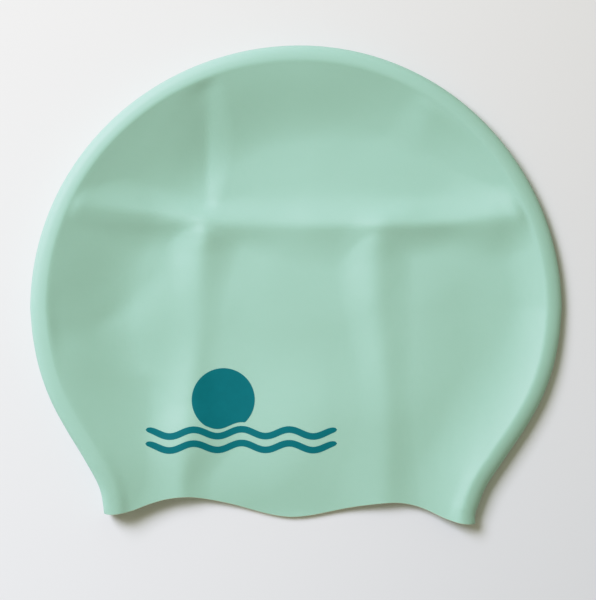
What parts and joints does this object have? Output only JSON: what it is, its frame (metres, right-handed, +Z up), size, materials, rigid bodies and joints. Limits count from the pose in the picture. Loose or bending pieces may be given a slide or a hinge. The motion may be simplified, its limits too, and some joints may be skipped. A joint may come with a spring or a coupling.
{
  "type": "swim cap",
  "caption": "Roomy moulded silicone swim cap lying flat: a round domed shell with a puffed rim, soft fold creases and a wavy head opening with ear flaps.",
  "frame": {"origin": "on the table under the middle of the cap's box, as it lies flat", "axes": "+Z up from the table, +Y from the head opening towards the crown, +X to the right seen from above, along the cap's width"},
  "size_m": [0.2654, 0.2382, 0.0176],
  "materials": {
    "cap_shell": "satin mint green silicone"
  },
  "bodies": {
    "root": {"cap_shell": "cap_shell"}
  },
  "joints": []
}
